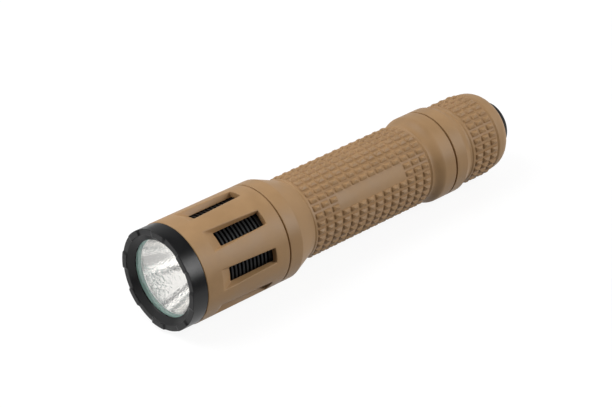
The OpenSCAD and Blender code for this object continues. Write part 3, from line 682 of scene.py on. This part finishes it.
def rounded(corners):
    """An outline of corners, each a station, a radius and a rounding, with arcs for roundings."""
    outline = []
    for number, (station, radius, rounding) in enumerate(corners):
        corner = Vector((station, radius))
        if rounding == 0:
            outline.append((station, radius))
            continue
        before = (Vector(corners[number - 1][:2]) - corner).normalized()
        after = (Vector(corners[number + 1][:2]) - corner).normalized()
        half = before.angle(after) / 2
        centre = corner + (before + after).normalized() * rounding / math.sin(half)
        reach = rounding / math.tan(half)
        first = corner + before * reach - centre
        sweep = first.angle_signed(corner + after * reach - centre)
        for step in range(corner_steps + 1):
            bend = math.atan2(first.y, first.x) - sweep * step / corner_steps
            outline.append((centre.x + rounding * math.cos(bend),
                            centre.y + rounding * math.sin(bend)))
    return outline


def stud_row(start, columns, base):
    """One row of studs laid flat along X, its height a radius."""
    width = math.tau * base / row_count
    middle = Vector((nose_x - (start + stud_pitch / 2) * MM, 0, base * MM))
    bpy.ops.object.select_all(action="DESELECT")
    bpy.ops.mesh.primitive_plane_add(size=MM, enter_editmode=True, location=(0, 0, 0))
    bpy.ops.mesh.select_mode(type="FACE")
    bpy.ops.transform.resize(value=(stud_pitch, width, 1), center_override=(0, 0, 0))
    bpy.ops.transform.translate(value=middle)
    bpy.ops.mesh.inset(thickness=stud_gap / 2 * MM)
    length = stud_pitch - stud_gap
    breadth = width - stud_gap
    for tier_height, tier_length, tier_breadth in stud_tiers:
        bpy.ops.mesh.extrude_region_move(TRANSFORM_OT_translate={"value": (0, 0, tier_height * MM)})
        taper = (tier_length / length, tier_breadth / breadth, 1)
        bpy.ops.transform.resize(value=taper, center_override=middle)
        length = tier_length
        breadth = tier_breadth
    bpy.ops.mesh.select_all(action="SELECT")
    bpy.ops.mesh.bisect(plane_co=middle, plane_no=(0, 1, 0))
    bpy.ops.object.mode_set(mode="OBJECT")
    row = bpy.context.object
    columns_along = row.modifiers.new("columns", "ARRAY")
    columns_along.count = columns
    columns_along.use_relative_offset = False
    columns_along.use_constant_offset = True
    columns_along.constant_offset_displace = (-stud_pitch * MM, 0, 0)
    columns_along.use_merge_vertices = True
    columns_along.merge_threshold = merge_distance
    bpy.ops.object.modifier_apply(modifier=columns_along.name)
    return row


def ends_of(edge, piece):
    """The places of the two ends of an edge."""
    return [piece.data.vertices[number].co for number in edge.vertices]


def hang_outline(row, outline):
    """Draws the edge of a row's front end along an outline that leads round to its rear end."""
    front_x = max(vertex.co.x for vertex in row.data.vertices)

    def at_front(edge):
        """Whether an edge lies at the front end of the row."""
        return all(end.x > front_x - merge_distance for end in ends_of(edge, row))

    pick(row, "EDGE", at_front)
    for (station, radius), (next_station, next_radius) in zip(outline, outline[1:]):
        move = ((station - next_station) * MM, 0, (next_radius - radius) * MM)
        bpy.ops.mesh.extrude_edges_move(TRANSFORM_OT_translate={"value": move})
    close_up()
    bpy.ops.object.mode_set(mode="OBJECT")


def on_panel(place):
    """Whether a place on the grip lies in one of the smooth panels or on its border."""
    in_length = panel_front - panel_margin < station_of(place) < panel_rear + panel_margin
    rows_aside = abs(turn_from(place, groove_first, panel_count)) * row_count / 360
    in_width = rows_aside < panel_rows / 2 + tolerance
    return in_length and in_width and radius_of(place) > body_radius - panel_margin


def of_missing_stud(ends):
    """Whether an edge between two ends is left over from a stud that a panel replaces."""
    half_rows = [turn_from(end, groove_first, panel_count) * row_count / 180 for end in ends]
    straight_along = abs(half_rows[0] - half_rows[1]) < tolerance
    on_row_line = straight_along and abs(half_rows[0] - round(half_rows[0])) < tolerance
    at_front = all(abs(station_of(end) - panel_front) < tolerance for end in ends)
    at_rear = all(abs(station_of(end) - panel_rear) < tolerance for end in ends)
    return all(on_panel(end) for end in ends) and not (on_row_line or at_front or at_rear)


neck = [(body_grip_start, body_radius, 0), (front_border_end, border_radius, 0.05),
        (front_border_start, border_radius, 0.1), (cone_rear, cone_rear_radius, 0.2),
        (cone_front, shell_radius, 1.2), (neck_front, shell_radius, 0.25),
        (neck_front, neck_bore, 0.1)]
bore = [(bore_step, neck_bore, 0), (bore_step, body_bore, 0), (body_rear, body_bore, 0.1)]
collar = [(body_rear, collar_radius, 0.2)]
for step in range(rise_steps, -1, -1):
    rise_station = rise_front + (collar_front - rise_front) * step / rise_steps
    rise_share = (1 - math.cos(math.pi * step / rise_steps)) / 2
    collar.append((rise_station, body_radius + (collar_radius - body_radius) * rise_share, 0))
border = [(rear_border_end, border_radius, 0.08), (rear_border_start, border_radius, 0.08),
          (body_grip_end, body_radius, 0)]
body_shell = stud_row(body_grip_start, body_columns, body_radius)
hang_outline(body_shell, rounded(neck + bore + collar + border))
wrap(body_shell, body_radius, groove_first + 180 / row_count)
ring_of(body_shell, row_count)
for vertex in body_shell.data.vertices:
    if on_panel(vertex.co):
        around = Vector((0, vertex.co.y, vertex.co.z - axis_z)).normalized()
        around *= (body_radius + panel_height) * MM
        vertex.co.y = around.y
        vertex.co.z = axis_z + around.z
pick(body_shell, "EDGE", lambda edge: of_missing_stud(ends_of(edge, body_shell)))
bpy.ops.mesh.dissolve_edges(use_verts=True)
leave_edit("body_shell_moulding")
soften(body_shell, width=stud_edge, segments=1, limit=25)
paint(tan_polymer, body_shell)
fit(body_shell, "light_body", "body_shell")


# Tail cap: the same tan polymer, with a band, a dip, three columns of studs and a round end.
# Its insert screws on the battery tube, and its rear wall holds the rubber button in.
cap_columns = 3
cap_grip_start = 120.36
cap_grip_end = cap_grip_start + cap_columns * stud_pitch
cap_radius = 12.8
cap_border_radius = 13.2
cap_border_start = 119.385
cap_border_end = 119.81
dip_front = 118.11
dip_rear = 118.96
dip_radius = 12.9
band_rear = 115.3
cap_mouth = 110.76
insert_rear = 122.26
insert_radius = 12.05
switch_bore = 10.2
rear_wall = 131.43
button_bore = 8.8
cap_rear = 137.665
end_middle = (132.63, 7.8)
end_rounding = 5.2
end_radius = 9.1
cap_rim_start = 131.4
cap_rim_end = 132.0
cap_rim_radius = 13.12
end_steps = 9
end_angle = math.acos((end_radius - end_middle[1]) / end_rounding)
cap_front = [(cap_grip_start, cap_radius, 0), (cap_border_end, cap_border_radius, 0.1),
             (cap_border_start, cap_border_radius, 0.1), (dip_rear, dip_radius, 0.15),
             (dip_front, dip_radius, 0.8), (band_rear, collar_radius, 0.5),
             (cap_mouth, collar_radius, 0.2), (cap_mouth, insert_radius, 0.1)]
cap_bore = [(insert_rear, insert_radius, 0), (insert_rear, switch_bore, 0),
            (rear_wall, switch_bore, 0), (rear_wall, button_bore, 0), (cap_rear, button_bore, 0.1)]
cap_end = []
for step in range(end_steps, -1, -1):
    bend = end_angle * step / end_steps
    cap_end.append((end_middle[0] + end_rounding * math.sin(bend),
                    end_middle[1] + end_rounding * math.cos(bend), 0))
cap_rim = [(cap_rim_end, cap_rim_radius, 0.05), (cap_rim_start, cap_rim_radius, 0.05),
           (cap_grip_end, cap_radius, 0)]
tail_cap = stud_row(cap_grip_start, cap_columns, cap_radius)
hang_outline(tail_cap, rounded(cap_front + cap_bore + cap_end + cap_rim))
wrap(tail_cap, cap_radius, groove_first + 180 / row_count)
ring_of(tail_cap, row_count)
leave_edit("tail_cap_moulding")
soften(tail_cap, width=stud_edge, segments=1, limit=25)
paint(tan_polymer, tail_cap)
fit(tail_cap, "tail_cap", "tail_cap")


# Tail contact: a threaded insert and a brass ring hold the switch board in the cap.
# A cone of steel wire on the board presses on the rear cell.
tail_spring = coiled("tail_spring_coil", start=114.05, end=120.61, first_radius=3.5, last_radius=6.5,
                     wire=0.8, turns=4)
fit(tail_spring, "tail_contact", "tail_spring")
paint(aluminium, cad_nodes["tail_insert"])
paint(brass, cad_nodes["tail_ring"], cad_nodes["switch_contact"])
paint(circuit_board, cad_nodes["switch_board"])


# Switch: a plastic housing on the board with a white plunger and its return spring.
# The spring is squeezed as the plunger goes down on the contact.
switch_spring_start = 122.31
switch_spring = coiled("switch_spring_coil", start=switch_spring_start, end=126.06,
                       first_radius=3.4, last_radius=3.4, wire=0.4, turns=3)
fit(switch_spring, "tail_cap", "switch_spring")
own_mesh(switch_spring)
paint(black_plastic, cad_nodes["switch_housing"])
paint(white_plastic, cad_nodes["switch_plunger"])


# Button: a boot of black rubber, moulded with a flange that the cap's rear wall holds.
# The post inside it pushes the switch's plunger.
post_front = 130.76
post_radius = 3
roof_inside = 138.93
boot_bore = 7.3
boot_radius = 8.5
boot_flange_front = 130.03
boot_flange_rear = 131.38
boot_flange_radius = 9.9
boot_face_edge = 141.25
boot_face_middle = 141.33
boot_rounding = 2
boot_inside = [(post_front, 0, 0), (post_front, post_radius, 0), (roof_inside, post_radius, 0),
               (roof_inside, boot_bore, 0), (boot_flange_front, boot_bore, 0)]
boot_outside = [(boot_flange_front, boot_flange_radius, 0.2),
                (boot_flange_rear, boot_flange_radius, 0.2), (boot_flange_rear, boot_radius, 0),
                (boot_face_edge, boot_radius, boot_rounding), (boot_face_middle, 0, 0)]
button = turned("button_boot", rounded(boot_inside + boot_outside), steps=96)
soften(button, width=0.1, segments=1)
paint(black_rubber, button)
fit(button, "button", "button")


# Floor: a matt board that looks white, keeps the shadow and throws little light back up. It leans
# with the light, which rests on its head and on the band of its tail. Two low black cards, which
# the camera doesn't see, darken the horizon in the bezel and the reflector.
floor_size = 40
board_shade = 0.15
board_glow = 0.9
tail_foot_station = 111
head_foot = on_top(cone_front, -shell_radius)
tail_foot = on_top(tail_foot_station, -collar_radius)
lean = math.atan2(tail_foot.z - head_foot.z, head_foot.x - tail_foot.x)
bpy.ops.object.select_all(action="DESELECT")
bpy.ops.mesh.primitive_plane_add(size=floor_size, location=head_foot, rotation=(0, lean, 0))
floor = bpy.context.object
floor.name = "floor"
white_board = bpy.data.materials.new("white_board")
white_board.use_nodes = True
tree = white_board.node_tree
tree.nodes.clear()
board = tree.nodes.new("ShaderNodeBsdfDiffuse")
board.inputs["Color"].default_value = (board_shade, board_shade, board_shade, 1)
glow = tree.nodes.new("ShaderNodeEmission")
glow.inputs["Strength"].default_value = board_glow
seen = tree.nodes.new("ShaderNodeAddShader")
tree.links.new(board.outputs["BSDF"], seen.inputs[0])
tree.links.new(glow.outputs["Emission"], seen.inputs[1])


def seen_directly(tree):
    """A socket that is 1 where the camera, a reflection or a view through glass looks."""
    path = tree.nodes.new("ShaderNodeLightPath")
    either = tree.nodes.new("ShaderNodeMath")
    either.operation = "MAXIMUM"
    any_of = tree.nodes.new("ShaderNodeMath")
    any_of.operation = "MAXIMUM"
    tree.links.new(path.outputs["Is Camera Ray"], either.inputs[0])
    tree.links.new(path.outputs["Is Glossy Ray"], either.inputs[1])
    tree.links.new(either.outputs["Value"], any_of.inputs[0])
    tree.links.new(path.outputs["Is Transmission Ray"], any_of.inputs[1])
    return any_of.outputs["Value"]


choice = tree.nodes.new("ShaderNodeMixShader")
tree.links.new(seen_directly(tree), choice.inputs["Fac"])
tree.links.new(board.outputs["BSDF"], choice.inputs[1])
tree.links.new(seen.outputs["Shader"], choice.inputs[2])
surface = tree.nodes.new("ShaderNodeOutputMaterial")
tree.links.new(choice.outputs["Shader"], surface.inputs["Surface"])
paint(white_board, floor)
card_height = 0.026
card_lift = 0.01
cards = [("side_card", 0.03, 0.075, 0.26, 0), ("front_card", 0.16, 0, 0.15, math.pi / 2)]
for card_name, card_x, card_y, card_length, card_turn in cards:
    bpy.ops.object.select_all(action="DESELECT")
    bpy.ops.mesh.primitive_plane_add(size=1, location=(card_x, card_y, head_foot.z + card_lift),
                                     rotation=(math.pi / 2, 0, card_turn))
    card = bpy.context.object
    card.name = card_name
    card.scale = (card_length, card_height, 1)
    card.visible_camera = False
    card.visible_shadow = False
    paint(black_plastic, card)


# Studio: a dim room with a pale band above a dark horizon, a softbox at the right and one overhead.
# The room's level differs for the light it sheds, for reflections and for the view through the lens,
# where no softbox shows, and the camera itself sees plain white.
room = bpy.data.worlds.new("room")
bpy.context.scene.world = room
room.use_nodes = True
tree = room.node_tree
tree.nodes.clear()
way = tree.nodes.new("ShaderNodeTexCoord")
parts = tree.nodes.new("ShaderNodeSeparateXYZ")
tree.links.new(way.outputs["Generated"], parts.inputs["Vector"])
bands = tree.nodes.new("ShaderNodeValToRGB")
room_levels = [(0.0, 0.04), (0.06, 0.04), (0.16, 0.54), (0.50, 0.54), (0.72, 0.18)]
for number, (height, level) in enumerate(room_levels):
    if number < len(bands.color_ramp.elements):
        stop = bands.color_ramp.elements[number]
    else:
        stop = bands.color_ramp.elements.new(height)
    stop.position = height
    stop.color = (level, level, level, 1)
tree.links.new(parts.outputs["Z"], bands.inputs["Fac"])
walls = tree.nodes.new("ShaderNodeBackground")
tree.links.new(bands.outputs["Color"], walls.inputs["Color"])
seen_level = spread(tree, parts.outputs["X"], given=(0.1, 0.4), wanted=(1, 1.85))
camera_side = (0.7, 0.7, 0)
near_camera = tree.nodes.new("ShaderNodeVectorMath")
near_camera.operation = "DOT_PRODUCT"
near_camera.inputs[1].default_value = camera_side
tree.links.new(way.outputs["Generated"], near_camera.inputs[0])
shed_level = spread(tree, near_camera.outputs["Value"], given=(0, 0.8), wanted=(1.5, 0.3))
room_level = tree.nodes.new("ShaderNodeMix")
tree.links.new(seen_directly(tree), room_level.inputs["Factor"])
tree.links.new(shed_level, room_level.inputs["A"])
tree.links.new(seen_level, room_level.inputs["B"])
sight = tree.nodes.new("ShaderNodeLightPath")
level_through_lens = 2.8
lens_level = tree.nodes.new("ShaderNodeMix")
lens_level.inputs["B"].default_value = level_through_lens
tree.links.new(sight.outputs["Is Transmission Ray"], lens_level.inputs["Factor"])
tree.links.new(room_level.outputs["Result"], lens_level.inputs["A"])
tree.links.new(lens_level.outputs["Result"], walls.inputs["Strength"])
backdrop = tree.nodes.new("ShaderNodeBackground")
backdrop.inputs["Color"].default_value = (1, 1, 1, 1)
shown = tree.nodes.new("ShaderNodeMixShader")
tree.links.new(sight.outputs["Is Camera Ray"], shown.inputs["Fac"])
tree.links.new(walls.outputs["Background"], shown.inputs[1])
tree.links.new(backdrop.outputs["Background"], shown.inputs[2])
surface = tree.nodes.new("ShaderNodeOutputWorld")
tree.links.new(shown.outputs["Shader"], surface.inputs["Surface"])


def softbox(name, direction, distance, width, height, power):
    """An oblong lamp that faces the middle of the light from one direction."""
    lamp = bpy.data.lights.new(name, "AREA")
    lamp.shape = "RECTANGLE"
    lamp.size = width
    lamp.size_y = height
    lamp.energy = power
    stand = bpy.data.objects.new(name, lamp)
    bpy.context.scene.collection.objects.link(stand)
    towards = Vector(direction).normalized()
    stand.location = axis_point + towards * distance
    stand.visible_transmission = False
    stand.rotation_euler = towards.to_track_quat("Z", "Y").to_euler()


softbox("right_softbox", (-0.50, 0.70, 0.48), distance=1.6, width=0.38, height=1, power=11)
softbox("overhead_softbox", (0.48, -0.36, 0.80), distance=0.5, width=0.36, height=0.36, power=1.6)


# Camera: the photograph's viewpoint, in front of the bezel, to its left and above.
# A long lens keeps the two ends of the light nearly the same size.
camera_data = bpy.data.cameras.new("camera")
camera_data.lens = 136.2
camera_data.sensor_width = 36
camera = bpy.data.objects.new("camera", camera_data)
bpy.context.scene.collection.objects.link(camera)
camera.location = (nose_x + 0.362735, 0.4424, 0.3639)
camera_azimuth = math.radians(136.4)
camera_elevation = math.radians(29.49)
backwards = Vector((math.sin(camera_azimuth) * math.cos(camera_elevation),
                    -math.cos(camera_azimuth) * math.cos(camera_elevation),
                    math.sin(camera_elevation)))
camera.rotation_euler = backwards.to_track_quat("Z", "Y").to_euler()
bpy.context.scene.camera = camera
bpy.context.scene.view_settings.view_transform = "Standard"
